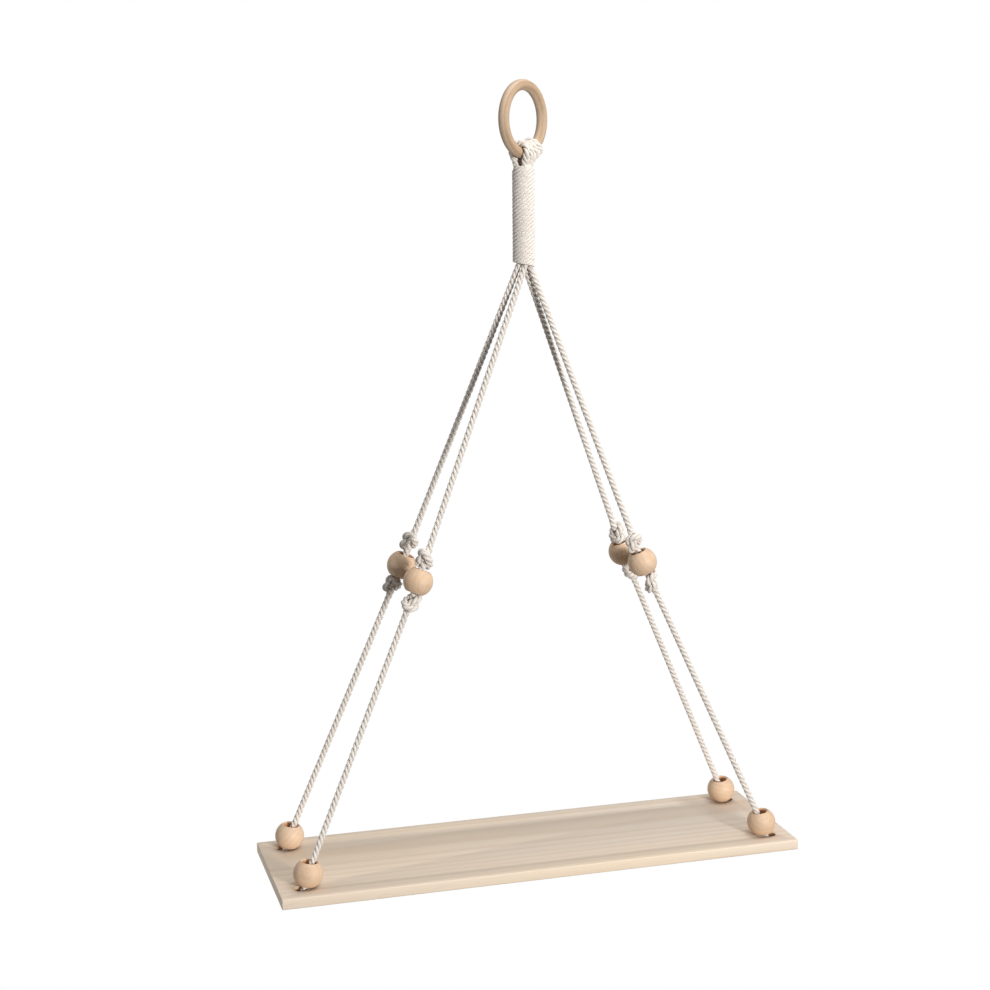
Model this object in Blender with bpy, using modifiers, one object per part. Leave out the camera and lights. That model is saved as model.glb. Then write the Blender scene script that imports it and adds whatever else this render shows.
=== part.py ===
"""A hanging wall shelf: a pine board slung on four cotton cords that meet at a wooden ring.

Metres, +Z up, +X along the board, the wall on the +Y side. The origin is where a nail or hook
carries the ring: the inside of the ring, at its top. The board hangs plumb below it.

Each cord is one piece of three-strand rope. From the neck under the ring it runs down to a knot,
a bead and another knot, then through a bead on the board and a hole in the board to a stopper
coil in a recess under it. A binding cord, wound round the four cords, makes the neck, and its
loops over the ring make the hitch.
"""

import math

import bmesh
import bpy
from mathutils import Matrix, Vector

GAP = 0.0003  # between pieces that touch

# Ring: a turned wooden ring that hangs turned from the board's length
RING_OUTER = 0.064
RING_SECTION = 0.009
RING_HEADING = math.radians(38.5)
RING_CENTRE = Vector((0, 0, RING_SECTION - RING_OUTER / 2))

# Board: its top lies this far below the nail
BOARD_LENGTH = 0.457
BOARD_WIDTH = 0.135
BOARD_THICKNESS = 0.009
BOARD_TOP = -0.6455
BOARD_EDGE = 0.0006  # rounding of its edges
SANDING_LENGTH = 0.048  # at each end, sanding has left the top a hair lower
SANDING_FALL = 0.00005
HOLE_X = 0.2096
HOLE_Y = 0.0478
HOLE_DIAMETER = 0.011
RECESS_DIAMETER = 0.0174  # under each hole, for the stopper
RECESS_DEPTH = 0.003

# Beads: all alike, with a wide bore
BEAD_DIAMETER = 0.025
BEAD_BORE = 0.0115
BEAD_MOUTH = 0.014  # the bore's mouth, outside its rounded rim
BEAD_RIM = 0.0010  # depth of that rim
BOARD_BEAD_X = 0.2027
BOARD_BEAD_Y = 0.0454
BOARD_BEAD_TILT = math.radians(9)  # towards the ring, as the cord pulls it

# Cords: three-strand rope, laid up left-handed
CORD = 0.0052
CORD_VALLEY = 0.8  # section's radius between two strands, as a share of the strand's crown
LAY = 0.0147  # one full turn of the strands
STRAIGHT_STEP = LAY / 5
BENT_STEP = LAY / 6
KNOT_UNIT = 0.0050  # spacing of the strands in a knot
SQUEEZE = 0.86  # a cord's width in a knot or in the neck, as a share of its free width

# Neck: the binding round the four cords, and the loops over the ring
BINDING_TOP = -0.0603
BINDING_END = -0.1431
BINDING_DIAMETER = 0.0188
BINDING_BORE = 0.0130
BINDING_MOUTH = 0.0164  # the bore's lower end, where the cords begin to part
BINDING_MOUTH_DEPTH = 0.0045
BINDING_TURNS = 18
BINDING_RIDGE = 0.0007
BINDING_SLANT = math.radians(14)  # of its lower end, where the last turn is tucked in
LOOP_CORD = 0.0054
LOOP_ANGLES = (12, -1.5, -15, -28.5)  # degrees along the ring, from its lowest point
LOOP_FOOT_SPREAD = 0.0031  # between neighbouring loops' feet, where they enter the binding
LOOP_FOOT_REACH = 0.0048  # of a foot from the neck's middle, on each side of the ring
COLLAR_DIAMETER = 0.0150
COLLAR_TOP = -0.0570

# A tight overhand knot, from its middle out to where the cord leaves it, in knot units.
# A half turn about the "across" axis gives its other half.
KNOT_HALF = (
    # across, deep, along
    (-0.78, 0.00, 0.00),
    (-0.77, -0.40, -0.30),
    (-0.63, -0.76, -0.61),
    (-0.30, -0.98, -0.90),
    (0.15, -1.02, -1.09),
    (0.61, -0.84, -1.16),
    (0.95, -0.49, -1.08),
    (1.12, -0.09, -0.85),
    (1.07, 0.27, -0.51),
    (0.82, 0.48, -0.14),
    (0.48, 0.45, 0.22),
    (0.20, 0.24, 0.58),
    (0.06, 0.08, 1.02),
    (0.00, 0.00, 1.50),
    (0.00, 0.00, 2.00),
)

# Each cord: its corner of the board, its place in the neck, the middle of its hanging bead, how far the knots'
# middles lie above and below that, and each knot's turn about the cord, in degrees.
CORDS = {
    "front_left": {
        "corner": (-1, -1),
        "neck": (0.0012, -0.0039),
        "bead": (-0.1002, -0.0231, -0.3992),
        "above": 0.0188,
        "below": 0.0177,
        "turns": (225, 45),
    },
    "back_left": {
        "corner": (-1, 1),
        "neck": (-0.0031, 0.0000),
        "bead": (-0.1035, 0.0227, -0.3947),
        "above": 0.0212,
        "below": 0.0184,
        "turns": (260, 270),
    },
    "front_right": {
        "corner": (1, -1),
        "neck": (0.0036, 0.0002),
        "bead": (0.0978, -0.0228, -0.3963),
        "above": 0.0188,
        "below": 0.0188,
        "turns": (285, 345),
    },
    "back_right": {
        "corner": (1, 1),
        "neck": (0.0001, 0.0035),
        "bead": (0.0964, 0.0228, -0.3959),
        "above": 0.0184,
        "below": 0.0186,
        "turns": (45, 75),
    },
}

FINISHES = {
    # colour, roughness
    "pine": ((0.66, 0.55, 0.42), 0.62),
    "beech": ((0.72, 0.50, 0.31), 0.55),
    "cotton": ((0.78, 0.73, 0.67), 0.9),
}


def start_scene():
    """Empties the scene and gives it a collection for the parts and one for the cutters."""
    for old in list(bpy.data.objects):
        bpy.data.objects.remove(old)
    made = []
    for name in ("hanging_wall_shelf", "cutters"):
        collection = bpy.data.collections.new(name)
        bpy.context.scene.collection.children.link(collection)
        made.append(collection)
    return made


def make_finishes():
    materials = {}
    for name, (colour, roughness) in FINISHES.items():
        material = bpy.data.materials.new(name)
        material.use_nodes = True
        shader = material.node_tree.nodes["Principled BSDF"]
        shader.inputs["Base Color"].default_value = (*colour, 1)
        shader.inputs["Roughness"].default_value = roughness
        shader.inputs["Metallic"].default_value = 0
        material.diffuse_color = (*colour, 1)
        materials[name] = material
    return materials


def add_object(name, data, collection, finish=None):
    made = bpy.data.objects.new(name, data)
    collection.objects.link(made)
    if finish:
        data.materials.append(finish)
    return made


def hide_helper(helper):
    helper.hide_render = True
    helper.display_type = "WIRE"


def mesh_from(shape, name):
    mesh = bpy.data.meshes.new(name)
    shape.to_mesh(mesh)
    shape.free()
    return mesh


def add_cutter(name, parts, collection):
    """A cutter made of upright cylinders, each (centre, diameter, height)."""
    shape = bmesh.new()
    for centre, diameter, height in parts:
        bmesh.ops.create_cone(
            shape,
            cap_ends=True,
            segments=16,
            radius1=diameter / 2,
            radius2=diameter / 2,
            depth=height,
            matrix=Matrix.Translation(centre),
        )
    cutter = add_object(name, mesh_from(shape, name), collection)
    hide_helper(cutter)
    return cutter


def cut(target, cutter):
    modifier = target.modifiers.new(cutter.name, "BOOLEAN")
    modifier.operation = "DIFFERENCE"
    modifier.object = cutter


def add_board(parts, cutters, finish):
    shape = bmesh.new()
    bmesh.ops.create_cube(shape, size=1)
    bmesh.ops.scale(shape, vec=(BOARD_LENGTH, BOARD_WIDTH, BOARD_THICKNESS), verts=shape.verts)
    for side in (-1, 1):
        bmesh.ops.bisect_plane(
            shape,
            geom=shape.verts[:] + shape.edges[:] + shape.faces[:],
            plane_co=(side * (BOARD_LENGTH / 2 - SANDING_LENGTH), 0, 0),
            plane_no=(1, 0, 0),
        )
    for corner in shape.verts:
        at_an_end = abs(corner.co.x) > BOARD_LENGTH / 2 - SANDING_LENGTH / 2
        if at_an_end and corner.co.z > 0:
            corner.co.z -= SANDING_FALL
    board = add_object("board", mesh_from(shape, "board"), parts, finish)
    board.location.z = BOARD_TOP - BOARD_THICKNESS / 2
    rounding = board.modifiers.new("rounded_edges", "BEVEL")
    rounding.width = BOARD_EDGE
    rounding.segments = 2
    rounding.limit_method = "ANGLE"
    rounding.angle_limit = math.radians(30)
    for name, row in CORDS.items():
        x = row["corner"][0] * HOLE_X
        y = row["corner"][1] * HOLE_Y
        through = ((x, y, BOARD_TOP - BOARD_THICKNESS / 2), HOLE_DIAMETER, 2 * BOARD_THICKNESS)
        below = ((x, y, BOARD_TOP - BOARD_THICKNESS), RECESS_DIAMETER, 2 * RECESS_DEPTH)
        cut(board, add_cutter(f"hole_{name}", [through], cutters))
        cut(board, add_cutter(f"recess_{name}", [below], cutters))


def add_ring(parts, finish):
    bpy.ops.mesh.primitive_torus_add(
        major_segments=32,
        minor_segments=12,
        major_radius=(RING_OUTER - RING_SECTION) / 2,
        minor_radius=RING_SECTION / 2,
        location=RING_CENTRE,
        rotation=(math.radians(90), 0, RING_HEADING),
    )
    ring = bpy.context.object
    ring.name = "ring"
    ring.data.shade_smooth()
    ring.data.materials.append(finish)
    for collection in list(ring.users_collection):
        collection.objects.unlink(ring)
    parts.objects.link(ring)


def bead_profile():
    """The bead's cut face at +X: the rim, the outside from top to bottom, and the lower rim."""
    radius = BEAD_DIAMETER / 2
    mouth = math.asin(BEAD_MOUTH / BEAD_DIAMETER)
    outside = []
    arcs = 5
    for step in range(arcs + 1):
        angle = mouth + (math.pi - 2 * mouth) * step / arcs
        outside.append((radius * math.sin(angle), radius * math.cos(angle)))
    rim = outside[0][1] - BEAD_RIM
    return [(BEAD_BORE / 2, rim), *outside, (BEAD_BORE / 2, -rim)]


def bead_mesh():
    mesh = bpy.data.meshes.new("bead")
    points = [(x, 0, z) for x, z in bead_profile()]
    edges = [(i, (i + 1) % len(points)) for i in range(len(points))]
    mesh.from_pydata(points, edges, [])
    return mesh


def add_bead(name, mesh, centre, axis, parts, finish):
    bead = add_object(name, mesh, parts)
    if not mesh.materials:
        mesh.materials.append(finish)
    bead.location = centre
    bead.rotation_mode = "QUATERNION"
    bead.rotation_quaternion = Vector((0, 0, 1)).rotation_difference(axis)
    turning = bead.modifiers.new("turning", "SCREW")
    turning.steps = 16
    turning.render_steps = 16
    turning.use_merge_vertices = True
    turning.merge_threshold = 0.00001
    turning.use_smooth_shade = True


def smooth_route(points, spans=8):
    """A Catmull-Rom curve through the points."""
    padded = [2 * points[0] - points[1], *points, 2 * points[-1] - points[-2]]
    route = []
    for a, b, c, d in zip(padded, padded[1:], padded[2:], padded[3:]):
        for step in range(spans):
            t = step / spans
            route.append(
                (2 * b + (c - a) * t + (2 * a - 5 * b + 4 * c - d) * t**2
                 + (3 * b - a - 3 * c + d) * t**3) / 2
            )
    route.append(points[-1])
    return route


def knot_route(middle, down, turn):
    """The cord's route through one overhand knot, from its upper end to its lower end."""
    along = -down.normalized()
    across = (Vector((0, -1, 0)) - along * -along.y).normalized()
    across = Matrix.Rotation(math.radians(turn), 3, along) @ across
    deep = along.cross(across)
    upper = [middle + KNOT_UNIT * (across * a + deep * d + along * z) for a, d, z in KNOT_HALF]
    lower = [middle + KNOT_UNIT * (across * a - deep * d - along * z) for a, d, z in KNOT_HALF]
    return smooth_route(upper[::-1] + lower[1:])


def stopper_route(hole):
    """Under the board the cord turns out of the hole's middle and once round it, upwards."""
    width = CORD * SQUEEZE
    top = BOARD_TOP - BOARD_THICKNESS + RECESS_DEPTH - GAP - width / 2
    pitch = width + 0.0003
    radius = pitch
    route = [Vector((hole.x, hole.y, top + 0.001)), Vector((hole.x, hole.y, top - pitch * 0.55))]
    for degrees, reach in ((-75, 0.30), (-40, 0.72)):
        angle = math.radians(degrees)
        offset = Vector((math.cos(angle), math.sin(angle), 0)) * radius * reach
        route.append(Vector((hole.x, hole.y, top - pitch * (0.7 + 0.35 * reach))) + offset)
    steps = 12
    for step in range(steps + 1):
        angle = 2 * math.pi * step / steps
        offset = Vector((math.cos(angle), math.sin(angle), 0)) * radius
        route.append(Vector((hole.x, hole.y, top - pitch * (1 - step / steps))) + offset)
    return smooth_route(route)


def spaced(points, step):
    """The points that divide a route into even steps of about this length."""
    lengths = [0.0]
    for a, b in zip(points, points[1:]):
        lengths.append(lengths[-1] + (b - a).length)
    count = max(1, round(lengths[-1] / step))
    route = []
    i = 0
    for k in range(count + 1):
        at = lengths[-1] * k / count
        while i < len(points) - 2 and lengths[i + 1] < at:
            i += 1
        span = lengths[i + 1] - lengths[i]
        share = (at - lengths[i]) / span if span else 0
        route.append(points[i].lerp(points[i + 1], share))
    return route


def add_section(name, width, collection):
    """The three-strand section that a cord's curve sweeps: three crowns and three valleys."""
    section = bpy.data.curves.new(name, "CURVE")
    section.dimensions = "2D"
    section.fill_mode = "NONE"
    outline = section.splines.new("POLY")
    outline.points.add(5)
    for corner, point in enumerate(outline.points):
        radius = width / 2 * (CORD_VALLEY if corner % 2 else 1)
        angle = math.radians(-60 * corner)
        point.co = (radius * math.cos(angle), radius * math.sin(angle), 0, 1)
    outline.use_cyclic_u = True
    made = add_object(name, section, collection)
    hide_helper(made)
    return made


def cord_curve(name, section, stretches):
    """A curve that sweeps the section along stretches of (points, width share, twisted)."""
    curve = bpy.data.curves.new(name, "CURVE")
    curve.dimensions = "3D"
    curve.bevel_mode = "OBJECT"
    curve.bevel_object = section
    curve.use_fill_caps = True
    curve.twist_mode = "MINIMUM"
    rows = []
    tilt = 0.0
    for points, share, twisted in stretches:
        for point in points:
            if rows:
                step = (point - rows[-1][0]).length
                if step < BENT_STEP / 4:
                    continue
                tilt -= 2 * math.pi * step / LAY * twisted
            rows.append((point, share, tilt))
    spline = curve.splines.new("POLY")
    spline.points.add(len(rows) - 1)
    for slot, (point, share, tilt) in zip(spline.points, rows):
        slot.co = (*point, 1)
        slot.radius = share
        slot.tilt = tilt
    return curve


def cord_places(row):
    """The named places on one cord, from the neck down."""
    corner = Vector((*row["corner"], 0))
    bead = Vector(row["bead"])
    board_bead = Vector((corner.x * BOARD_BEAD_X, corner.y * BOARD_BEAD_Y, 0))
    board_bead.z = BOARD_TOP + board_bead_height()
    neck = Vector((*row["neck"], 0))
    leaves = neck + Vector((0, 0, BINDING_END + BINDING_MOUTH_DEPTH))
    hole_middle = BOARD_TOP - (BOARD_THICKNESS - RECESS_DEPTH) / 2
    return {
        "neck_top": neck + Vector((0, 0, BINDING_TOP - GAP)),
        "leaves": leaves,
        "upper_knot": bead + (leaves - bead).normalized() * row["above"],
        "bead": bead,
        "lower_knot": bead + (board_bead - bead).normalized() * row["below"],
        "board_bead": board_bead,
        "hole": Vector((corner.x * HOLE_X, corner.y * HOLE_Y, hole_middle)),
    }


def board_bead_height():
    """Height of a board bead's middle over the board: its tilted lower rim rests on it."""
    mouth = BEAD_MOUTH / 2
    rim = math.sqrt((BEAD_DIAMETER / 2) ** 2 - mouth**2)
    return rim * math.cos(BOARD_BEAD_TILT) + mouth * math.sin(BOARD_BEAD_TILT) + GAP


def add_cord(name, row, section, parts, finish):
    at = cord_places(row)
    upper = knot_route(at["upper_knot"], at["bead"] - at["leaves"], row["turns"][0])
    lower = knot_route(at["lower_knot"], at["board_bead"] - at["bead"], row["turns"][1])
    stopper = stopper_route(at["hole"])
    stretches = [
        ([at["neck_top"], at["leaves"]], SQUEEZE, 0),
        (spaced([at["leaves"], upper[0]], STRAIGHT_STEP)[1:], 1, 1),
        (spaced(upper, BENT_STEP)[1:], SQUEEZE, 1),
        (spaced([upper[-1], lower[0]], STRAIGHT_STEP)[1:], 1, 1),
        (spaced(lower, BENT_STEP)[1:], SQUEEZE, 1),
        (spaced([lower[-1], at["board_bead"], at["hole"]], STRAIGHT_STEP)[1:], 1, 1),
        (spaced([at["hole"], *stopper], BENT_STEP)[1:], SQUEEZE, 1),
    ]
    curve = cord_curve(f"cord_{name}", section, stretches)
    add_object(f"cord_{name}", curve, parts, finish)


def add_beads(parts, finish):
    mesh = bead_mesh()
    for name, row in CORDS.items():
        at = cord_places(row)
        axis = at["upper_knot"] - at["lower_knot"]
        add_bead(f"bead_{name}", mesh, at["bead"], axis, parts, finish)
        to_ring = Vector((-at["board_bead"].x, -at["board_bead"].y, 0)).normalized()
        axis = Vector((0, 0, math.cos(BOARD_BEAD_TILT))) + to_ring * math.sin(BOARD_BEAD_TILT)
        add_bead(f"board_bead_{name}", mesh, at["board_bead"], axis, parts, finish)


def add_binding(parts, cutters, finish):
    """The wound cord as a ridged sleeve round the four cords, its lower end on a slant."""
    length = BINDING_TOP - BINDING_END
    crown = BINDING_DIAMETER / 2
    points = []
    for row in range(2 * BINDING_TURNS + 1):
        radius = crown - (BINDING_RIDGE if row % 2 == 0 else 0)
        points.append((radius, 0, BINDING_TOP - length * row / (2 * BINDING_TURNS)))
    points.append((BINDING_MOUTH / 2, 0, BINDING_END))
    points.append((BINDING_BORE / 2, 0, BINDING_END + BINDING_MOUTH_DEPTH))
    points.append((BINDING_BORE / 2, 0, BINDING_TOP))
    edges = [(i, (i + 1) % len(points)) for i in range(len(points))]
    mesh = bpy.data.meshes.new("binding")
    mesh.from_pydata(points, edges, [])
    binding = add_object("binding", mesh, parts, finish)
    turning = binding.modifiers.new("turning", "SCREW")
    turning.steps = 14
    turning.render_steps = 14
    turning.use_merge_vertices = True
    turning.merge_threshold = 0.00001
    turning.use_smooth_shade = True
    shape = bmesh.new()
    bmesh.ops.create_cube(shape, size=2 * BINDING_DIAMETER)
    below = Matrix.Translation((0, 0, -BINDING_DIAMETER))
    low_side = Vector((crown, 0, BINDING_END))
    slant = Matrix.Translation(low_side) @ Matrix.Rotation(BINDING_SLANT, 4, "Y")
    bmesh.ops.transform(shape, matrix=slant @ below, verts=shape.verts)
    cutter = add_object("binding_end", mesh_from(shape, "binding_end"), cutters)
    hide_helper(cutter)
    cut(binding, cutter)


def loop_route(degrees, number):
    """One loop of cord over the ring, with both its feet at the neck."""
    plane = Vector((math.cos(RING_HEADING), math.sin(RING_HEADING), 0))
    face = Vector((math.sin(RING_HEADING), -math.cos(RING_HEADING), 0))
    angle = math.radians(degrees)
    middle_radius = (RING_OUTER - RING_SECTION) / 2
    outward = -plane * math.sin(angle) - Vector((0, 0, math.cos(angle)))
    middle = RING_CENTRE + outward * middle_radius
    reach = RING_SECTION / 2 + GAP + LOOP_CORD / 2
    over = []
    for step in range(-5, 6):
        turn = math.radians(20 * step)
        over.append(middle + reach * (face * math.sin(turn) - outward * math.cos(turn)))
    foot = -plane * (LOOP_FOOT_SPREAD * (1.5 - number))
    route = []
    for side in (-1, 1):
        low = foot + face * side * LOOP_FOOT_REACH
        ends = [low + Vector((0, 0, BINDING_TOP + 2.5 * GAP)), low + Vector((0, 0, COLLAR_TOP))]
        route = over + ends[::-1] if side > 0 else route
        over = ends + over if side < 0 else over
    return smooth_route(route, 4)


def fill_pockets(mesh):
    """Keeps the outer skin, so that no air is sealed in between the loops."""
    shape = bmesh.new()
    shape.from_mesh(mesh)
    bmesh.ops.triangulate(shape, faces=shape.faces)
    bmesh.ops.remove_doubles(shape, verts=shape.verts, dist=0.00001)
    seen = {}
    for face in shape.faces:
        seen.setdefault(frozenset(face.verts), []).append(face)
    flat = [face for same in seen.values() if len(same) > 1 for face in same]
    bmesh.ops.delete(shape, geom=flat, context="FACES")
    waiting = set(shape.faces)
    skins = []
    while waiting:
        skin = []
        search = [waiting.pop()]
        while search:
            face = search.pop()
            skin.append(face)
            sides = [edge for edge in face.edges if len(edge.link_faces) == 2]
            near = {other for edge in sides for other in edge.link_faces} & waiting
            waiting -= near
            search += near
        skins.append(skin)
    skins.sort(key=len)
    inner = [face for skin in skins[:-1] for face in skin]
    bmesh.ops.delete(shape, geom=inner, context="FACES")
    shape.to_mesh(mesh)
    shape.free()


def add_hitch(section, parts, cutters, finish):
    """The loops over the ring, joined to a collar where they gather above the binding."""
    shape = bmesh.new()
    height = COLLAR_TOP - BINDING_TOP - GAP
    bmesh.ops.create_cone(
        shape,
        cap_ends=True,
        segments=16,
        radius1=COLLAR_DIAMETER / 2,
        radius2=COLLAR_DIAMETER / 2 - height / 3,
        depth=height,
        matrix=Matrix.Translation((0, 0, COLLAR_TOP - height / 2)),
    )
    hitch = add_object("hitch", mesh_from(shape, "hitch"), parts, finish)
    for number, degrees in enumerate(LOOP_ANGLES):
        route = spaced(loop_route(degrees, number), STRAIGHT_STEP)
        curve = cord_curve(f"loop_{number}", section, [(route, 1, 1)])
        rough = add_object(f"loop_curve_{number}", curve, cutters)
        bpy.context.view_layer.update()
        graph = bpy.context.evaluated_depsgraph_get()
        mesh = bpy.data.meshes.new_from_object(rough.evaluated_get(graph))
        bpy.data.objects.remove(rough)
        whole = bmesh.new()
        whole.from_mesh(mesh)
        bmesh.ops.remove_doubles(whole, verts=whole.verts, dist=0.00001)
        bmesh.ops.recalc_face_normals(whole, faces=whole.faces)
        whole.to_mesh(mesh)
        whole.free()
        loop = add_object(f"loop_{number}", mesh, cutters)
        hide_helper(loop)
        joining = hitch.modifiers.new(loop.name, "BOOLEAN")
        joining.operation = "UNION"
        joining.use_self = True
        joining.object = loop
    bpy.context.view_layer.update()
    graph = bpy.context.evaluated_depsgraph_get()
    joined = bpy.data.meshes.new_from_object(hitch.evaluated_get(graph))
    hitch.modifiers.clear()
    hitch.data = joined
    fill_pockets(joined)


def main():
    parts, cutters = start_scene()
    finishes = make_finishes()
    add_board(parts, cutters, finishes["pine"])
    add_ring(parts, finishes["beech"])
    add_beads(parts, finishes["beech"])
    cord_section = add_section("cord_section", CORD, cutters)
    loop_section = add_section("loop_section", LOOP_CORD, cutters)
    for name, row in CORDS.items():
        add_cord(name, row, cord_section, parts, finishes["cotton"])
    add_binding(parts, cutters, finishes["cotton"])
    add_hitch(loop_section, parts, cutters, finishes["cotton"])


main()
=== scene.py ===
import math

import bmesh
import bpy
from mathutils import Matrix, Vector, noise


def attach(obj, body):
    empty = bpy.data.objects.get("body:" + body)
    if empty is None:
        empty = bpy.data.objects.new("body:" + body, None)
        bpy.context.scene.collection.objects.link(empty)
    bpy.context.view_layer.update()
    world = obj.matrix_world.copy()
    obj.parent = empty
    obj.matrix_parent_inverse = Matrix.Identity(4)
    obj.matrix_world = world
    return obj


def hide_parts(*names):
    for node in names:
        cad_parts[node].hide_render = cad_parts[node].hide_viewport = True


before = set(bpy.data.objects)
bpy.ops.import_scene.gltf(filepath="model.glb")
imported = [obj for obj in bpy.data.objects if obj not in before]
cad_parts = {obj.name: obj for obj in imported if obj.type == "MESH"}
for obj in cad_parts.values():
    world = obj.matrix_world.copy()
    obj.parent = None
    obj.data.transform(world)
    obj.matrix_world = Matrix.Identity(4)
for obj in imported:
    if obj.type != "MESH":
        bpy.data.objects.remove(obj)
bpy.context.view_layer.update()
print("frame loaded")


# Camera: fitted to the board's corners, the beads and the ring in the photo

cameraSettings = {
    "place": (-0.4428, -1.4610, -0.0610),
    "yaw": 15.898,
    "pitch": 10.21,
    "roll": -0.493,
    "lens": 66.366,
    "sensor": 36,
}


def makeCamera(settings):
    yaw = math.radians(settings["yaw"])
    pitch = math.radians(settings["pitch"])
    roll = math.radians(settings["roll"])
    ahead = Vector(
        (math.sin(yaw) * math.cos(pitch), math.cos(yaw) * math.cos(pitch), -math.sin(pitch))
    )
    right = Vector((math.cos(yaw), -math.sin(yaw), 0))
    up = right.cross(ahead)
    camera = bpy.data.cameras.new("camera")
    camera.sensor_width = settings["sensor"]
    camera.lens = settings["lens"]
    camera.clip_start = 0.05
    camera.clip_end = 20
    holder = bpy.data.objects.new("camera", camera)
    bpy.context.scene.collection.objects.link(holder)
    turn = Matrix(
        (
            right * math.cos(roll) + up * math.sin(roll),
            up * math.cos(roll) - right * math.sin(roll),
            -ahead,
        )
    ).transposed()
    holder.matrix_world = Matrix.Translation(settings["place"]) @ turn.to_4x4()
    bpy.context.scene.camera = holder


# Light: a low key from the front right, weak side and top light, and a surround that is bright behind

lightSettings = {
    "key": {"place": (0.95, -3.05, 0.05), "size": 0.6, "power": 105, "colour": (1, 0.985, 0.96)},
    "side": {"place": (-2.4, -0.3, -0.1), "size": 2.2, "power": 7, "colour": (1, 0.99, 0.98)},
    "overhead": {"place": (0.35, -0.35, 0.95), "size": 1.1, "power": 12, "colour": (1, 0.99, 0.98)},
    "aim": (0, 0, -0.45),
    "surroundFront": 0.05,
    "surroundBack": 0.7,
    "seen": 1.0,
}


def makeLight(name, settings, aim):
    light = bpy.data.lights.new(name, "AREA")
    light.shape = "DISK"
    light.size = settings["size"]
    light.energy = settings["power"]
    light.color = settings["colour"]
    holder = bpy.data.objects.new(name, light)
    bpy.context.scene.collection.objects.link(holder)
    holder.location = settings["place"]
    holder.visible_camera = False
    toAim = Vector(aim) - Vector(settings["place"])
    holder.rotation_euler = toAim.to_track_quat("-Z", "Y").to_euler()


def makeSurround(settings):
    world = bpy.data.worlds.new("surround")
    bpy.context.scene.world = world
    world.use_nodes = True
    tree = world.node_tree
    tree.nodes.clear()
    direction = tree.nodes.new("ShaderNodeTexCoord").outputs["Generated"]
    parts = tree.nodes.new("ShaderNodeSeparateXYZ")
    tree.links.new(direction, parts.inputs[0])
    strength = tree.nodes.new("ShaderNodeMapRange")
    tree.links.new(parts.outputs["Y"], strength.inputs["Value"])
    strength.inputs["From Min"].default_value = -0.4
    strength.inputs["From Max"].default_value = 0.7
    strength.inputs["To Min"].default_value = settings["surroundFront"]
    strength.inputs["To Max"].default_value = settings["surroundBack"]
    lit = tree.nodes.new("ShaderNodeBackground")
    lit.inputs["Color"].default_value = (1, 1, 1, 1)
    tree.links.new(strength.outputs[0], lit.inputs["Strength"])
    seen = tree.nodes.new("ShaderNodeBackground")
    seen.inputs["Color"].default_value = (1, 1, 1, 1)
    seen.inputs["Strength"].default_value = settings["seen"]
    ray = tree.nodes.new("ShaderNodeLightPath")
    mix = tree.nodes.new("ShaderNodeMixShader")
    output = tree.nodes.new("ShaderNodeOutputWorld")
    tree.links.new(ray.outputs["Is Camera Ray"], mix.inputs[0])
    tree.links.new(lit.outputs[0], mix.inputs[1])
    tree.links.new(seen.outputs[0], mix.inputs[2])
    tree.links.new(mix.outputs[0], output.inputs["Surface"])


makeCamera(cameraSettings)
for name in ("key", "side", "overhead"):
    makeLight(name, lightSettings[name], lightSettings["aim"])
makeSurround(lightSettings)
bpy.context.scene.view_settings.view_transform = "Standard"
bpy.context.scene.view_settings.look = "None"
print("camera and light made")


# Materials: shared effects are node groups, and each material has its own Principled shader


def newGroup(name, inputs, outputs):
    group = bpy.data.node_groups.new(name, "ShaderNodeTree")
    for label, kind, value in inputs:
        socket = group.interface.new_socket(label, in_out="INPUT", socket_type=kind)
        socket.default_value = value
    for label, kind in outputs:
        group.interface.new_socket(label, in_out="OUTPUT", socket_type=kind)
    return group, group.nodes.new("NodeGroupInput"), group.nodes.new("NodeGroupOutput")


def addNode(tree, kind, values=(), **settings):
    node = tree.nodes.new(kind)
    for key, value in settings.items():
        setattr(node, key, value)
    for key, value in dict(values).items():
        node.inputs[key].default_value = value
    return node


def addMath(tree, operation, first, second=None):
    node = tree.nodes.new("ShaderNodeMath")
    node.operation = operation
    for slotIndex, value in enumerate((first, second)):
        if value is None:
            continue
        if isinstance(value, (int, float)):
            node.inputs[slotIndex].default_value = value
        else:
            tree.links.new(value, node.inputs[slotIndex])
    return node.outputs[0]


def addMix(tree, factor, first, second, blend="MIX"):
    node = tree.nodes.new("ShaderNodeMix")
    node.data_type = "RGBA"
    node.blend_type = blend
    for socket, value in zip((node.inputs[0], node.inputs[6], node.inputs[7]), (factor, first, second)):
        if isinstance(value, (int, float, tuple)):
            socket.default_value = value
        else:
            tree.links.new(value, socket)
    return node.outputs[2]


def addRange(tree, value, low, high, toLow=0, toHigh=1):
    node = tree.nodes.new("ShaderNodeMapRange")
    tree.links.new(value, node.inputs["Value"])
    for label, number in zip(("From Min", "From Max", "To Min", "To Max"), (low, high, toLow, toHigh)):
        node.inputs[label].default_value = number
    return node.outputs[0]


def addNoise(tree, vector, scale, detail=4, roughness=0.5, distortion=0):
    node = addNode(
        tree,
        "ShaderNodeTexNoise",
        {"Scale": scale, "Detail": detail, "Roughness": roughness, "Distortion": distortion},
    )
    tree.links.new(vector, node.inputs["Vector"])
    return node.outputs["Fac"]


def addScaled(tree, vector, scale):
    node = tree.nodes.new("ShaderNodeVectorMath")
    node.operation = "MULTIPLY"
    tree.links.new(vector, node.inputs[0])
    node.inputs[1].default_value = scale
    return node.outputs[0]


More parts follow.
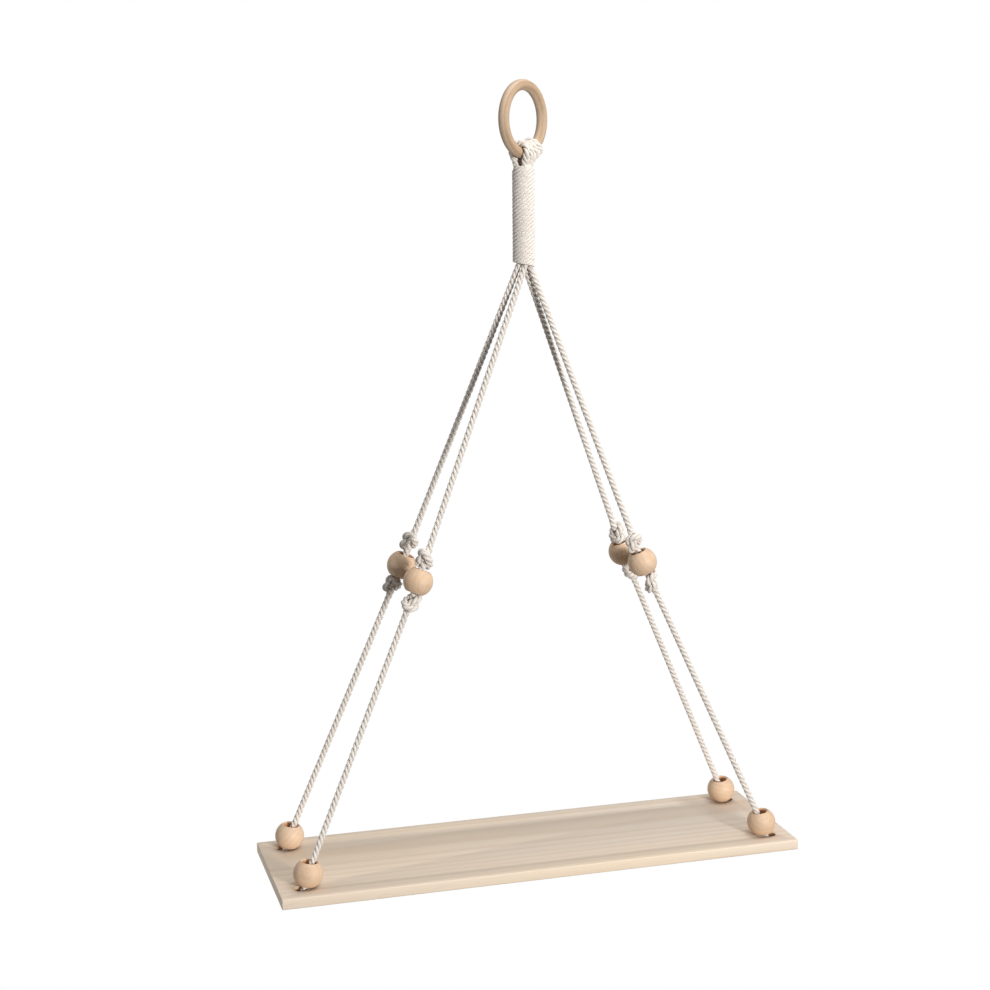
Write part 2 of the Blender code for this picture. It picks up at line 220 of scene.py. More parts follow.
def makeYarnGroup():
    # Yarn lines run along the cord's own axis, and thin fibres lie across them.
    group, given, made = newGroup(
        "yarn",
        [
            ("Yarns", "NodeSocketFloat", 21),
            ("Lay", "NodeSocketFloat", 0.0147),
        ],
        [("Height", "NodeSocketFloat"), ("Shade", "NodeSocketFloat")],
    )
    coordinate = addNode(group, "ShaderNodeUVMap", uv_map="along")
    parts = group.nodes.new("ShaderNodeSeparateXYZ")
    group.links.new(coordinate.outputs[0], parts.inputs[0])
    turned = addMath(group, "DIVIDE", parts.outputs["Y"], given.outputs["Lay"])
    around = addMath(group, "ADD", parts.outputs["X"], turned)
    place = group.nodes.new("ShaderNodeTexCoord").outputs["Object"]
    wander = addRange(group, addNoise(group, place, 260, 2), 0.3, 0.7, -0.03, 0.03)
    around = addMath(group, "ADD", around, wander)
    wave = addMath(group, "MULTIPLY", addMath(group, "MULTIPLY", around, given.outputs["Yarns"]), math.pi)
    ridge = addMath(group, "ABSOLUTE", addMath(group, "SINE", wave))
    fibre = addNoise(group, addScaled(group, place, (1, 1, 0.4)), 2600, 3, 0.7)
    fibre = addMath(group, "MULTIPLY", fibre, 0.5)
    height = addMath(group, "ADD", addMath(group, "MULTIPLY", ridge, 0.7), fibre)
    group.links.new(height, made.inputs["Height"])
    # Painted shade: the colour is darker in the grooves between yarns, and blotches add random tone.
    blotch = addNoise(group, place, 90, 3)
    blotch = addMath(group, "MULTIPLY", blotch, 0.45)
    shade = addMath(group, "ADD", addMath(group, "MULTIPLY", ridge, 0.55), blotch)
    group.links.new(shade, made.inputs["Shade"])
    return group


def makeGrainGroup():
    # Growth rings about a far axis, stretched along X, with pores and a slow drift of colour.
    group, given, made = newGroup(
        "grain",
        [
            ("Vector", "NodeSocketVector", (0, 0, 0)),
            ("Rings", "NodeSocketFloat", 60),
            ("Centre", "NodeSocketVector", (0, 0, 0)),
            ("Bend", "NodeSocketFloat", 0.009),
        ],
        [
            ("Band", "NodeSocketFloat"),
            ("Streak", "NodeSocketFloat"),
            ("Pore", "NodeSocketFloat"),
            ("Drift", "NodeSocketFloat"),
        ],
    )
    vector = given.outputs["Vector"]
    wide = addNode(group, "ShaderNodeTexNoise", {"Scale": 9, "Detail": 2, "Roughness": 0.5})
    group.links.new(addScaled(group, vector, (0.25, 1, 1)), wide.inputs["Vector"])
    bend = group.nodes.new("ShaderNodeVectorMath")
    bend.operation = "MULTIPLY_ADD"
    group.links.new(wide.outputs["Color"], bend.inputs[0])
    reach = group.nodes.new("ShaderNodeCombineXYZ")
    group.links.new(given.outputs["Bend"], reach.inputs["Y"])
    group.links.new(given.outputs["Bend"], reach.inputs["Z"])
    group.links.new(reach.outputs[0], bend.inputs[1])
    group.links.new(vector, bend.inputs[2])
    away = group.nodes.new("ShaderNodeVectorMath")
    away.operation = "SUBTRACT"
    group.links.new(bend.outputs[0], away.inputs[0])
    group.links.new(given.outputs["Centre"], away.inputs[1])
    flat = addScaled(group, away.outputs[0], (0.03, 1, 1))
    length = group.nodes.new("ShaderNodeVectorMath")
    length.operation = "LENGTH"
    group.links.new(flat, length.inputs[0])
    count = addMath(group, "MULTIPLY", length.outputs["Value"], given.outputs["Rings"])
    saw = addMath(group, "FRACT", count)
    rise = addRange(group, saw, 0, 0.78)
    fall = addRange(group, saw, 0.86, 1, 1, 0)
    band = addMath(group, "MULTIPLY", addMath(group, "POWER", rise, 4.5), fall)
    group.links.new(band, made.inputs["Band"])
    streak = addNoise(group, addScaled(group, vector, (6, 260, 260)), 1, 4, 0.6)
    group.links.new(streak, made.inputs["Streak"])
    pore = addNoise(group, addScaled(group, vector, (70, 1500, 1500)), 1, 2, 0.6)
    group.links.new(addRange(group, pore, 0.58, 0.72), made.inputs["Pore"])
    drift = addNoise(group, addScaled(group, vector, (3, 16, 16)), 1, 2, 0.5)
    group.links.new(drift, made.inputs["Drift"])
    return group


yarnGroup = makeYarnGroup()
grainGroup = makeGrainGroup()

cottonSettings = {
    "light": (0.84, 0.795, 0.75, 1),
    "dark": (0.65, 0.595, 0.54, 1),
    # Painted shade: the valley colour darkens the grooves between strands and between the binding's turns.
    "shadedValley": (0.34, 0.235, 0.145, 1),
    "shadedValleyShare": 0.55,
    "bump": 0.00016,
    "strength": 0.55,
}


def makeCotton(name, settings):
    material = bpy.data.materials.new(name)
    material.use_nodes = True
    tree = material.node_tree
    shader = tree.nodes["Principled BSDF"]
    shader.inputs["Roughness"].default_value = 0.92
    shader.inputs["Specular IOR Level"].default_value = 0.15
    shader.inputs["Sheen Weight"].default_value = 0.25
    shader.inputs["Sheen Roughness"].default_value = 0.5
    yarn = addNode(tree, "ShaderNodeGroup", node_tree=yarnGroup)
    colour = addMix(tree, yarn.outputs["Shade"], settings["dark"], settings["light"])
    # Painted shade: the grooves between strands are mixed towards the valley colour.
    shadedValley = addNode(tree, "ShaderNodeAttribute", attribute_name="shadedValley").outputs["Fac"]
    colour = addMix(tree, addRange(tree, shadedValley, 0.5, 1, 0, settings["shadedValleyShare"]), colour, settings["shadedValley"])
    tree.links.new(colour, shader.inputs["Base Color"])
    bump = addNode(tree, "ShaderNodeBump", {"Strength": settings["strength"], "Distance": settings["bump"]})
    tree.links.new(yarn.outputs["Height"], bump.inputs["Height"])
    tree.links.new(bump.outputs[0], shader.inputs["Normal"])
    return material


def makeWood(name, settings):
    material = bpy.data.materials.new(name)
    material.use_nodes = True
    tree = material.node_tree
    shader = tree.nodes["Principled BSDF"]
    shader.inputs["Roughness"].default_value = settings["roughness"]
    shader.inputs["Specular IOR Level"].default_value = 0.3
    place = tree.nodes.new("ShaderNodeTexCoord").outputs["Object"]
    if settings.get("attribute"):
        place = addNode(tree, "ShaderNodeAttribute", attribute_name=settings["attribute"]).outputs["Vector"]
    grain = addNode(tree, "ShaderNodeGroup", node_tree=grainGroup)
    grain.inputs["Rings"].default_value = settings["rings"]
    grain.inputs["Centre"].default_value = settings["centre"]
    grain.inputs["Bend"].default_value = settings["bend"]
    tree.links.new(place, grain.inputs["Vector"])
    colour = addMix(tree, addRange(tree, grain.outputs["Drift"], 0.3, 0.7), settings["light"], settings["warm"])
    band = addMath(tree, "MULTIPLY", grain.outputs["Band"], settings["bandShare"])
    colour = addMix(tree, band, colour, settings["band"])
    streak = addRange(tree, grain.outputs["Streak"], 0.35, 0.75, 0, settings["streakShare"])
    colour = addMix(tree, streak, colour, settings["streak"])
    pore = addMath(tree, "MULTIPLY", grain.outputs["Pore"], settings["poreShare"])
    colour = addMix(tree, pore, colour, settings["pore"])
    # Painted shade: bores and holes are tinted a dark warm orange.
    hollowShade = addNode(tree, "ShaderNodeAttribute", attribute_name="hollowShade").outputs["Fac"]
    colour = addMix(tree, hollowShade, colour, settings["hollowShade"])
    tree.links.new(colour, shader.inputs["Base Color"])
    bump = addNode(tree, "ShaderNodeBump", {"Strength": 0.25, "Distance": 0.00008})
    relief = addMath(tree, "ADD", grain.outputs["Streak"], addMath(tree, "MULTIPLY", grain.outputs["Pore"], -0.6))
    tree.links.new(relief, bump.inputs["Height"])
    tree.links.new(bump.outputs[0], shader.inputs["Normal"])
    return material


pineSettings = {
    "roughness": 0.6,
    "rings": 150,
    "centre": (0, 0.03, -0.70),
    "bend": 0.009,
    "light": (0.80, 0.695, 0.59, 1),
    "warm": (0.79, 0.655, 0.50, 1),
    "band": (0.65, 0.49, 0.34, 1),
    "bandShare": 0.42,
    "streak": (0.70, 0.57, 0.45, 1),
    "streakShare": 0.5,
    "pore": (0.50, 0.36, 0.26, 1),
    "poreShare": 0.2,
    # Painted shade inside the holes
    "hollowShade": (0.62, 0.40, 0.24, 1),
}

beechSettings = {
    "roughness": 0.5,
    "rings": 240,
    "centre": (0, 0.02, -0.05),
    "bend": 0.009,
    "light": (0.72, 0.535, 0.385, 1),
    "warm": (0.66, 0.465, 0.31, 1),
    "band": (0.55, 0.365, 0.22, 1),
    "bandShare": 0.3,
    "streak": (0.60, 0.42, 0.275, 1),
    "streakShare": 0.4,
    "pore": (0.42, 0.26, 0.15, 1),
    "poreShare": 0.45,
    # Painted shade inside the bores
    "hollowShade": (0.50, 0.24, 0.11, 1),
    "attribute": "woodPlace",
}

# The ring's growth layers lie in its own plane, and one dark layer shows all round it.
ringShades = {
    "rings": 150,
    "centre": (0, -1.0007, 0),
    "bend": 0.0025,
    "light": (0.57, 0.44, 0.33, 1),
    "warm": (0.54, 0.395, 0.28, 1),
    "band": (0.34, 0.22, 0.125, 1),
    "bandShare": 0.8,
}

cotton = makeCotton("cotton", cottonSettings)
pine = makeWood("pine", pineSettings)
beech = makeWood("beech", beechSettings)
ringWood = makeWood("beech_ring", {**beechSettings, **ringShades})
print("materials made")


# Shared geometry: routes, and the three-strand cord that is swept along them


def smoothRoute(points, spans=10):
    padded = [2 * points[0] - points[1], *points, 2 * points[-1] - points[-2]]
    route = []
    for a, b, c, d in zip(padded, padded[1:], padded[2:], padded[3:]):
        for step in range(spans):
            t = step / spans
            route.append(
                (2 * b + (c - a) * t + (2 * a - 5 * b + 4 * c - d) * t**2
                 + (3 * b - a - 3 * c + d) * t**3) / 2
            )
    route.append(points[-1])
    return route


def evenRoute(points, step):
    lengths = [0.0]
    for a, b in zip(points, points[1:]):
        lengths.append(lengths[-1] + (b - a).length)
    count = max(1, round(lengths[-1] / step))
    route = []
    i = 0
    for k in range(count + 1):
        at = lengths[-1] * k / count
        while i < len(points) - 2 and lengths[i + 1] < at:
            i += 1
        span = lengths[i + 1] - lengths[i]
        share = (at - lengths[i]) / span if span else 0
        route.append(points[i].lerp(points[i + 1], share))
    return route


def easedRoute(points, passes):
    for turn in range(passes):
        inner = [(a + 2 * b + c) / 4 for a, b, c in zip(points, points[1:], points[2:])]
        points = [points[0], *inner, points[-1]]
    return points


cordSettings = {
    "width": 0.0053,
    "lay": 0.0147,
    "step": 0.0006,
    "around": 27,
    "strand": 0.57,
    "unevenness": 0.03,
}


def strandRadius(share, strand):
    # Distance from the cord's middle to its skin, for a place round it from 0 to 1.
    offset = 1 - strand
    away = (share * 3) % 1
    angle = (away - 0.5) * 2 * math.pi / 3
    return offset * math.cos(angle) + math.sqrt(strand**2 - (offset * math.sin(angle)) ** 2)


def sweepCord(route, widths, settings):
    around = settings["around"]
    section = [strandRadius(k / around, settings["strand"]) for k in range(around)]
    # Painted shade mask: 0 on a strand's crown and 1 in the groove between strands.
    shadeDepths = [(1 - share) / (1 - min(section)) for share in section]
    points = []
    faces = []
    coordinates = []
    normal = None
    length = 0.0
    last = len(route) - 1
    for i, place in enumerate(route):
        tangent = (route[min(i + 1, last)] - route[max(i - 1, 0)]).normalized()
        if normal is None:
            normal = tangent.orthogonal().normalized()
        else:
            normal = (normal - tangent * normal.dot(tangent)).normalized()
            length += (place - route[i - 1]).length
        binormal = tangent.cross(normal)
        swell = 1 + settings["unevenness"] * noise.noise(place * 90)
        radius = widths[i] / 2 * swell
        twist = -2 * math.pi * length / settings["lay"]
        for k, share in enumerate(section):
            angle = twist + 2 * math.pi * k / around
            out = (normal * math.cos(angle) + binormal * math.sin(angle)) * radius * share
            points.append(place + out)
        coordinates.append(length)
    for i in range(last):
        for k in range(around):
            after = (k + 1) % around
            faces.append((i * around + k, i * around + after, (i + 1) * around + after, (i + 1) * around + k))
    faces.append(tuple(range(around))[::-1])
    faces.append(tuple(last * around + k for k in range(around)))
    return points, faces, coordinates, shadeDepths * len(route)


def setValues(mesh, name, values):
    layer = mesh.attributes.new(name, "FLOAT", "POINT")
    layer.data.foreach_set("value", values)


def cordMesh(name, sweeps, settings):
    allPoints = []
    allFaces = []
    allCoordinates = []
    allShadeDepths = []
    around = settings["around"]
    for points, faces, lengths, shadeDepths in sweeps:
        base = len(allPoints)
        allPoints += points
        allShadeDepths += shadeDepths
        quads = len(faces) - 2
        for number, face in enumerate(faces):
            allFaces.append(tuple(base + corner for corner in face))
            row, column = divmod(number, around)
            if number < quads:
                for k, i in ((column, row), (column + 1, row), (column + 1, row + 1), (column, row + 1)):
                    allCoordinates += [k / around, lengths[i]]
            else:
                for corner in face:
                    allCoordinates += [0.5, 0]
    mesh = bpy.data.meshes.new(name)
    mesh.from_pydata(allPoints, [], allFaces)
    layer = mesh.uv_layers.new(name="along")
    layer.data.foreach_set("uv", allCoordinates)
    setValues(mesh, "shadedValley", allShadeDepths)
    mesh.shade_smooth()
    mesh.materials.append(cotton)
    return mesh


def addPiece(name, mesh, replaced):
    piece = bpy.data.objects.new(name, mesh)
    bpy.context.scene.collection.objects.link(piece)
    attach(piece, "root")
    if replaced:
        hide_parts(replaced)
    return piece


# Cords: from the neck to the stopper under the board

boardSettings = {
    "length": 0.457,
    "width": 0.135,
    "thickness": 0.009,
    "top": -0.6455,
    "holeX": 0.2096,
    "holeY": 0.0478,
    "holeDiameter": 0.011,
    "recessDiameter": 0.0174,
    "recessDepth": 0.003,
    "edge": 0.0009,
}

beadSettings = {
    "diameter": 0.025,
    "bore": 0.0115,
    "mouth": 0.014,
    "rimDepth": 0.0010,
    "boardX": 0.2027,
    "boardY": 0.0454,
    "tilt": math.radians(9),
    "gap": 0.0003,
}

neckSettings = {
    "top": -0.0603,
    "end": -0.1431,
    "mouthDepth": 0.0045,
    "diameter": 0.0188,
    "bore": 0.0130,
}

knotHalf = (
    # across, deep, along
    (-0.78, 0.00, 0.00),
    (-0.77, -0.40, -0.30),
    (-0.63, -0.76, -0.61),
    (-0.30, -0.98, -0.90),
    (0.15, -1.02, -1.09),
    (0.61, -0.84, -1.16),
    (0.95, -0.49, -1.08),
    (1.12, -0.09, -0.85),
    (1.07, 0.27, -0.51),
    (0.82, 0.48, -0.14),
    (0.48, 0.45, 0.22),
    (0.20, 0.24, 0.58),
    (0.06, 0.08, 1.02),
    (0.00, 0.00, 1.50),
    (0.00, 0.00, 2.00),
)

knotSettings = {"unit": 0.0048, "width": 0.0066}

cordTable = {
    "front_left": {
        "corner": (-1, -1),
        "neck": (0.0012, -0.0039),
        "bead": (-0.1002, -0.0231, -0.3992),
        "above": 0.0188,
        "below": 0.0177,
        "turns": (225, 45),
    },
    "back_left": {
        "corner": (-1, 1),
        "neck": (-0.0031, 0.0),
        "bead": (-0.1035, 0.0227, -0.3947),
        "above": 0.0212,
        "below": 0.0184,
        "turns": (260, 270),
    },
    "front_right": {
        "corner": (1, -1),
        "neck": (0.0036, 0.0002),
        "bead": (0.0978, -0.0228, -0.3963),
        "above": 0.0188,
        "below": 0.0188,
        "turns": (285, 345),
    },
    "back_right": {
        "corner": (1, 1),
        "neck": (0.0001, 0.0035),
        "bead": (0.0964, 0.0228, -0.3959),
        "above": 0.0184,
        "below": 0.0186,
        "turns": (45, 75),
    },
}


def boardBeadHeight():
    mouth = beadSettings["mouth"] / 2
    rim = math.sqrt((beadSettings["diameter"] / 2) ** 2 - mouth**2)
    tilt = beadSettings["tilt"]
    return rim * math.cos(tilt) + mouth * math.sin(tilt) + beadSettings["gap"]


def cordPlaces(row):
    cornerX, cornerY = row["corner"]
    bead = Vector(row["bead"])
    leaves = Vector((*row["neck"], neckSettings["end"] + neckSettings["mouthDepth"]))
    boardBead = Vector(
        (
            cornerX * beadSettings["boardX"],
            cornerY * beadSettings["boardY"],
            boardSettings["top"] + boardBeadHeight(),
        )
    )
    holeMiddle = boardSettings["top"] - (boardSettings["thickness"] - boardSettings["recessDepth"]) / 2
    hole = Vector((cornerX * boardSettings["holeX"], cornerY * boardSettings["holeY"], holeMiddle))
    underBead = boardBead.lerp(hole, 0.45)
    underBead.z = boardSettings["top"]
    return {
        "neckTop": Vector((*row["neck"], neckSettings["top"] - 0.0003)),
        "leaves": leaves,
        "upperKnot": bead + (leaves - bead).normalized() * row["above"],
        "bead": bead,
        "lowerKnot": bead + (boardBead - bead).normalized() * row["below"],
        "boardBead": boardBead,
        "underBead": underBead,
        "hole": hole,
    }


def knotRoute(middle, down, turn):
    along = -down.normalized()
    across = (Vector((0, -1, 0)) - along * -along.y).normalized()
    across = Matrix.Rotation(math.radians(turn), 3, along) @ across
    deep = along.cross(across)
    unit = knotSettings["unit"]
    upper = [middle + unit * (across * a + deep * d + along * z) for a, d, z in knotHalf]
    lower = [middle + unit * (across * a - deep * d - along * z) for a, d, z in knotHalf]
    return smoothRoute(upper[::-1] + lower[1:])


def stopperRoute(hole):
    width = 0.0045
    top = boardSettings["top"] - boardSettings["thickness"] + boardSettings["recessDepth"] - 0.0003 - width / 2
    pitch = width + 0.0003
    route = [Vector((hole.x, hole.y, top + 0.001)), Vector((hole.x, hole.y, top - pitch * 0.55))]
    for degrees, reach in ((-75, 0.30), (-40, 0.72)):
        angle = math.radians(degrees)
        offset = Vector((math.cos(angle), math.sin(angle), 0)) * pitch * reach
        route.append(Vector((hole.x, hole.y, top - pitch * (0.7 + 0.35 * reach))) + offset)
    steps = 12
    for step in range(steps + 1):
        angle = 2 * math.pi * step / steps
        offset = Vector((math.cos(angle), math.sin(angle), 0)) * pitch
        route.append(Vector((hole.x, hole.y, top - pitch * (1 - step / steps))) + offset)
    return smoothRoute(route)


def addCord(name, row):
    at = cordPlaces(row)
    stretches = [
        ([at["neckTop"], at["leaves"]], 0.0045),
        (knotRoute(at["upperKnot"], at["bead"] - at["leaves"], row["turns"][0]), knotSettings["width"]),
        (knotRoute(at["lowerKnot"], at["boardBead"] - at["bead"], row["turns"][1]), knotSettings["width"]),
        ([at["boardBead"], at["underBead"]], cordSettings["width"]),
        (stopperRoute(at["hole"]), 0.0045),
    ]
    points = []
    widths = []
    for number, (stretch, width) in enumerate(stretches):
        if points:
            gap = evenRoute([points[-1], stretch[0]], cordSettings["step"])[1:-1]
            points += gap
            widths += [cordSettings["width"]] * len(gap)
        fine = evenRoute(stretch, cordSettings["step"])
        points += fine
        widths += [width] * len(fine)
    points = easedRoute(points, 12)
    for turn in range(20):
        inner = [(a + 2 * b + c) / 4 for a, b, c in zip(widths, widths[1:], widths[2:])]
        widths = [widths[0], *inner, widths[-1]]
    sweep = sweepCord(points, widths, cordSettings)
    addPiece(f"laid_cord_{name}", cordMesh(f"laid_cord_{name}", [sweep], cordSettings), f"cord_{name}")


for name, row in cordTable.items():
    addCord(name, row)
print("cords made")


# Beads and ring: turned beech

def beadOutline(settings):
    radius = settings["diameter"] / 2
    bore = settings["bore"] / 2
    mouthAngle = math.asin(settings["mouth"] / settings["diameter"])
    outside = []
    steps = 40
    for step in range(steps + 1):
        angle = mouthAngle + 0.05 + (math.pi - 2 * mouthAngle - 0.1) * step / steps
        outside.append((radius * math.sin(angle), radius * math.cos(angle)))
    edgeX, edgeZ = outside[0]
    rim = []
    rimSteps = 8
    for step in range(rimSteps):
        t = step / rimSteps
        angle = t * math.pi / 2
        rise = 0.0006 - 0.0018 * (1 - math.sin(angle)) - 0.0006 * t
        rim.append((bore + (edgeX - bore) * math.sin(angle) ** 1.2, edgeZ + rise))
    inner = [(bore, -0.006 + 0.0015 * k) for k in range(9)]
    lower = [(x, -z) for x, z in reversed(rim)]
    return inner + rim + outside + lower


def latheMesh(name, outline, segments):
    # The outline goes up the bore, over the rim and down the outside.
    points = []
    faces = []
    count = len(outline)
    for k in range(segments):
        angle = 2 * math.pi * k / segments
        points += [(x * math.cos(angle), x * math.sin(angle), z) for x, z in outline]
    for k in range(segments):
        after = (k + 1) % segments
        for i in range(count):
            j = (i + 1) % count
            faces.append((k * count + i, k * count + j, after * count + j, after * count + i))
    mesh = bpy.data.meshes.new(name)
    mesh.from_pydata(points, [], faces)
    shape = bmesh.new()
    shape.from_mesh(mesh)
    bmesh.ops.recalc_face_normals(shape, faces=shape.faces)
    shape.to_mesh(mesh)
    shape.free()
    mesh.shade_smooth()
    return mesh


def logPlace(seed):
    # A bead is turned from its own place in the log.
    return Vector([noise.noise(Vector((seed, offset, 0))) for offset in (0.3, 1.3, 2.3)])


def placeWood(mesh, matrix, shift):
    # The points keep their place in the log as an attribute, and then the mesh is moved to its own place.
    layer = mesh.attributes.new("woodPlace", "FLOAT_VECTOR", "POINT")
    values = []
    for vertex in mesh.vertices:
        values += list(vertex.co + shift)
    layer.data.foreach_set("vector", values)
    mesh.transform(matrix)


def boreDepth(point, settings):
    # 0 on the outside and 1 inside the bore, which is painted with shade
    away = math.hypot(point.x, point.y) - settings["bore"] / 2
    return min(1.0, max(0.0, 1 - away / 0.0009))


def addBead(name, centre, axis, replaced, seed):
    mesh = latheMesh(name, beadOutline(beadSettings), 72)
    # Painted shade mask for the bore
    setValues(mesh, "hollowShade", [boreDepth(vertex.co, beadSettings) for vertex in mesh.vertices])
    spin = Matrix.Rotation(seed * 1.7, 4, "Z")
    turn = Vector((0, 0, 1)).rotation_difference(axis).to_matrix().to_4x4()
    placeWood(mesh, Matrix.Translation(centre) @ turn @ spin, logPlace(seed))
    mesh.materials.append(beech)
    addPiece(name, mesh, replaced)


for number, (name, row) in enumerate(cordTable.items()):
    at = cordPlaces(row)
    addBead(f"turned_bead_{name}", at["bead"], at["upperKnot"] - at["lowerKnot"], f"bead_{name}", number + 0.37)
    inward = Vector((-at["boardBead"].x, -at["boardBead"].y, 0)).normalized()
    tilt = beadSettings["tilt"]
    axis = Vector((0, 0, math.cos(tilt))) + inward * math.sin(tilt)
    addBead(f"turned_board_bead_{name}", at["boardBead"], axis, f"board_bead_{name}", number + 5.37)

ringSettings = {
    "outer": 0.064,
    "section": 0.009,
    "heading": math.radians(38.5),
    "segments": 128,
    "around": 40,
}


def addRing(settings):
    radius = (settings["outer"] - settings["section"]) / 2
    points = []
    faces = []
    segments = settings["segments"]
    around = settings["around"]
    for i in range(segments):
        angle = 2 * math.pi * i / segments
        for k in range(around):
            turn = 2 * math.pi * k / around
            reach = radius + settings["section"] / 2 * math.cos(turn)
            side = settings["section"] / 2 * math.sin(turn)
            points.append((reach * math.cos(angle), side, reach * math.sin(angle)))
    for i in range(segments):
        for k in range(around):
            a, b = (i + 1) % segments, (k + 1) % around
            faces.append((i * around + k, a * around + k, a * around + b, i * around + b))
    mesh = bpy.data.meshes.new("turned_ring")
    mesh.from_pydata(points, [], faces)
    shape = bmesh.new()
    shape.from_mesh(mesh)
    bmesh.ops.recalc_face_normals(shape, faces=shape.faces)
    shape.to_mesh(mesh)
    shape.free()
    mesh.shade_smooth()
    centre = Vector((0, 0, settings["section"] - settings["outer"] / 2))
    placeWood(mesh, Matrix.Translation(centre) @ Matrix.Rotation(settings["heading"], 4, "Z"), Vector())
    mesh.materials.append(ringWood)
    addPiece("turned_ring", mesh, "ring")


addRing(ringSettings)
print("beads and ring made")


# Hitch: four passes of the cord over the ring

hitchSettings = {
    "angles": (12, -1.5, -15, -28.5),
    "width": 0.0056,
    "footSpread": 0.0031,
    "footReach": 0.0048,
    "low": -0.066,
}


def loopRoute(degrees, number):
    heading = ringSettings["heading"]
    plane = Vector((math.cos(heading), math.sin(heading), 0))
    face = Vector((math.sin(heading), -math.cos(heading), 0))
    angle = math.radians(degrees)
    radius = (ringSettings["outer"] - ringSettings["section"]) / 2
    outward = -plane * math.sin(angle) - Vector((0, 0, math.cos(angle)))
    middle = Vector((0, 0, ringSettings["section"] - ringSettings["outer"] / 2)) + outward * radius
    reach = ringSettings["section"] / 2 + 0.0003 + 0.0027
    over = []
    for step in range(-5, 6):
        turn = math.radians(20 * step)
        over.append(middle + reach * (face * math.sin(turn) - outward * math.cos(turn)))
    foot = -plane * (hitchSettings["footSpread"] * (1.5 - number))
    back = foot - face * hitchSettings["footReach"]
    front = foot + face * hitchSettings["footReach"]
    low = Vector((0, 0, hitchSettings["low"]))
    high = Vector((0, 0, -0.0570))
    return smoothRoute([back * 0.8 + low, back + high, *over, front + high, front * 0.8 + low])


sweeps = []
for number, degrees in enumerate(hitchSettings["angles"]):
    route = easedRoute(evenRoute(loopRoute(degrees, number), cordSettings["step"]), 6)
    sweeps.append(sweepCord(route, [hitchSettings["width"]] * len(route), cordSettings))
addPiece("looped_hitch", cordMesh("looped_hitch", sweeps, cordSettings), "hitch")
print("hitch made")


# Binding: one cord wound round the four cords and pressed flat, so that mostly its strands show

bindingSettings = {
    "turns": 17.5,
    "start": 200,
    "stepsPerTurn": 150,
    "middle": 0.00795,
    "halfDepth": 0.00145,
    "halfHeight": 0.00247,
    "sections": 17,
    "strandSpacing": 0.0032,
    "strandSlope": 0.61,
    "strandDepth": 0.0009,
    "turnDepth": 0.00035,
    "surfaceRadius": 0.0092,
    "slope": 0.0012,
}


def bindingMesh(settings):
    top = neckSettings["top"] - settings["halfHeight"]
    bottom = neckSettings["end"] + settings["halfHeight"] + 0.0004
    steps = int(settings["turns"] * settings["stepsPerTurn"])
    section = []
    for k in range(settings["sections"]):
        section.append((2 * k / (settings["sections"] - 1) - 1, 1))
    section += [(0.9, -0.8), (0, -1), (-0.9, -0.8)]
    around = len(section)
    points = []
    faces = []
    lengths = []
    shadeDepths = []
    for step in range(steps + 1):
        share = step / steps
        turned = 2 * math.pi * settings["turns"] * share
        angle = math.radians(settings["start"]) + turned
        lean = max(0.0, share - 0.93) / 0.07
        z = top + (bottom - top) * share - settings["slope"] * lean * math.cos(angle)
        for height, side in section:
            rise = height * settings["halfHeight"]
            line = z + rise - settings["strandSlope"] * settings["surfaceRadius"] * turned
            wander = 0.35 * noise.noise(Vector((math.cos(angle), math.sin(angle), (z + rise) * 60)))
            shadedValley = 1 - abs(math.sin(math.pi * (line / settings["strandSpacing"] + wander))) ** 0.9
            edge = abs(height) ** 6
            reach = settings["middle"] + side * settings["halfDepth"]
            if side > 0:
                reach -= settings["strandDepth"] * shadedValley + settings["turnDepth"] * edge
            swell = noise.noise(Vector((math.cos(angle) * 2, math.sin(angle) * 2, (z + rise) * 300)))
            reach += 0.00015 * swell
            points.append(Vector((reach * math.cos(angle), reach * math.sin(angle), z + rise)))
            # Painted shade mask: the grooves between strands and between turns are darkened.
            shadeDepths.append(min(1.0, 0.8 * shadedValley + 0.3 * edge))
        lengths.append(settings["surfaceRadius"] * turned)
    for i in range(steps):
        for k in range(around):
            after = (k + 1) % around
            faces.append((i * around + k, (i + 1) * around + k, (i + 1) * around + after, i * around + after))
    faces.append(tuple(range(around)))
    faces.append(tuple(steps * around + k for k in range(around))[::-1])
    mesh = bpy.data.meshes.new("wound_binding")
    mesh.from_pydata(points, [], faces)
    layer = mesh.uv_layers.new(name="along")
    coordinates = []
    for number in range(steps * around):
        row, column = divmod(number, around)
        for k, i in ((column, row), (column, row + 1), (column + 1, row + 1), (column + 1, row)):
            coordinates += [k / around - lengths[i] / cordSettings["lay"], lengths[i]]
    coordinates += [0.5, 0] * (2 * around)
    layer.data.foreach_set("uv", coordinates)
    setValues(mesh, "shadedValley", shadeDepths)
    mesh.shade_smooth()
    mesh.materials.append(cotton)
    return mesh


addPiece("wound_binding", bindingMesh(bindingSettings), "binding")
print("binding made")


# Board: pine, with four holes and a recess under each


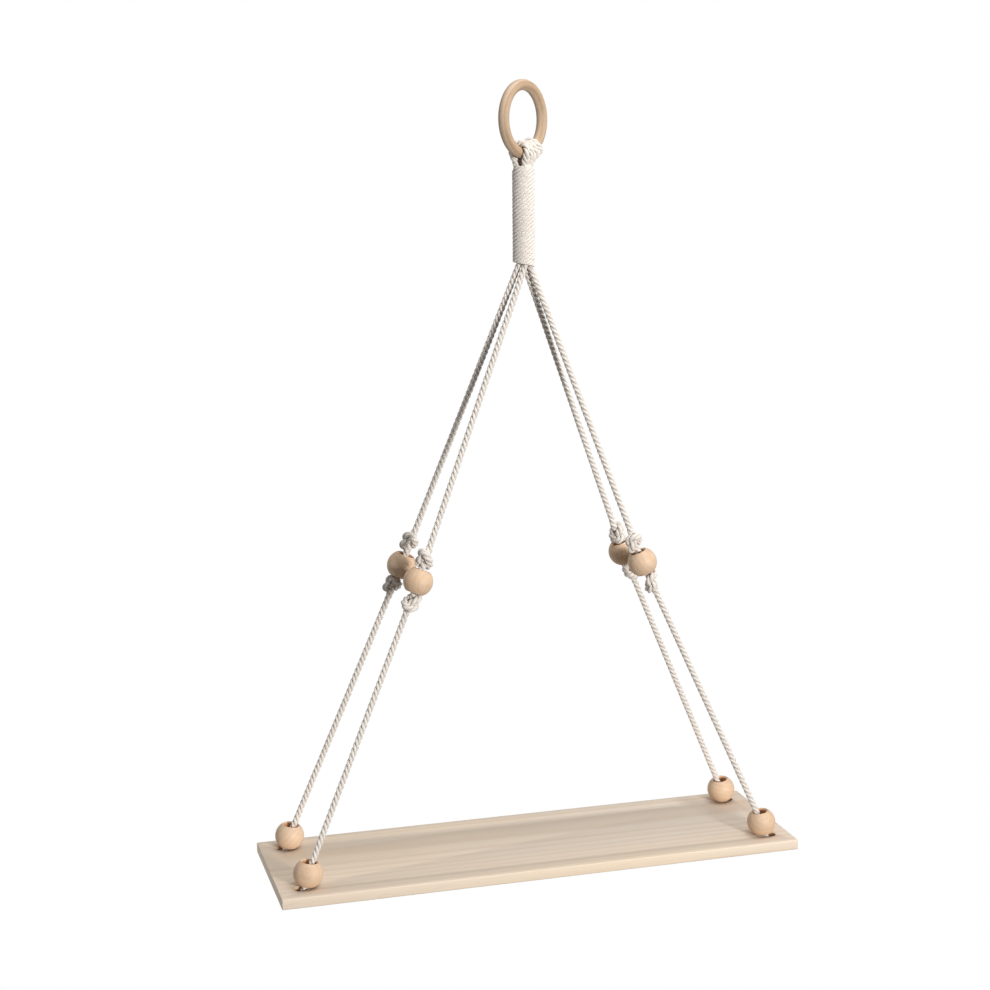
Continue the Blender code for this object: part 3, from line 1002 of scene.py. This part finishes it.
def addBoard(settings):
    shape = bmesh.new()
    bmesh.ops.create_cube(shape, size=1)
    bmesh.ops.scale(shape, vec=(settings["length"], settings["width"], settings["thickness"]), verts=shape.verts)
    bmesh.ops.translate(shape, vec=(0, 0, settings["top"] - settings["thickness"] / 2), verts=shape.verts)
    bmesh.ops.bevel(
        shape,
        geom=shape.edges[:],
        offset=settings["edge"],
        offset_type="OFFSET",
        segments=4,
        profile=0.5,
        affect="EDGES",
        material=-1,
    )
    mesh = bpy.data.meshes.new("planed_board")
    shape.to_mesh(mesh)
    shape.free()
    board = bpy.data.objects.new("planed_board", mesh)
    bpy.context.scene.collection.objects.link(board)
    cutters = bmesh.new()
    for cornerX, cornerY in ((-1, -1), (-1, 1), (1, -1), (1, 1)):
        x, y = cornerX * settings["holeX"], cornerY * settings["holeY"]
        low = settings["top"] - settings["thickness"]
        for diameter, bottom, top in (
            (settings["holeDiameter"], low - 0.01, settings["top"] + 0.01),
            (settings["recessDiameter"], low - 0.01, low + settings["recessDepth"]),
        ):
            bmesh.ops.create_cone(
                cutters,
                cap_ends=True,
                segments=64,
                radius1=diameter / 2,
                radius2=diameter / 2,
                depth=top - bottom,
                matrix=Matrix.Translation((x, y, (top + bottom) / 2)),
            )
    cutterMesh = bpy.data.meshes.new("hole_cutter")
    cutters.to_mesh(cutterMesh)
    cutters.free()
    cutter = bpy.data.objects.new("hole_cutter", cutterMesh)
    bpy.context.scene.collection.objects.link(cutter)
    cut = board.modifiers.new("holes", "BOOLEAN")
    cut.operation = "DIFFERENCE"
    cut.object = cutter
    cut.use_self = True
    ease = board.modifiers.new("eased_holes", "BEVEL")
    ease.width = 0.0004
    ease.segments = 2
    ease.limit_method = "ANGLE"
    ease.angle_limit = math.radians(50)
    bpy.context.view_layer.update()
    graph = bpy.context.evaluated_depsgraph_get()
    finished = bpy.data.meshes.new_from_object(board.evaluated_get(graph))
    board.modifiers.clear()
    board.data = finished
    bpy.data.objects.remove(cutter)
    finished.shade_smooth()
    finished.set_sharp_from_angle(angle=math.radians(30))
    # Painted shade mask: the walls of the four holes.
    hollowShades = []
    for vertex in finished.vertices:
        away = math.hypot(abs(vertex.co.x) - settings["holeX"], abs(vertex.co.y) - settings["holeY"])
        below = settings["top"] - 0.0003 - vertex.co.z
        hollowShades.append(1.0 if away < settings["holeDiameter"] / 2 + 0.0002 and below > 0 else 0.0)
    setValues(finished, "hollowShade", hollowShades)
    finished.materials.clear()
    finished.materials.append(pine)
    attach(board, "root")
    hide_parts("board")


addBoard(boardSettings)
print("board made")
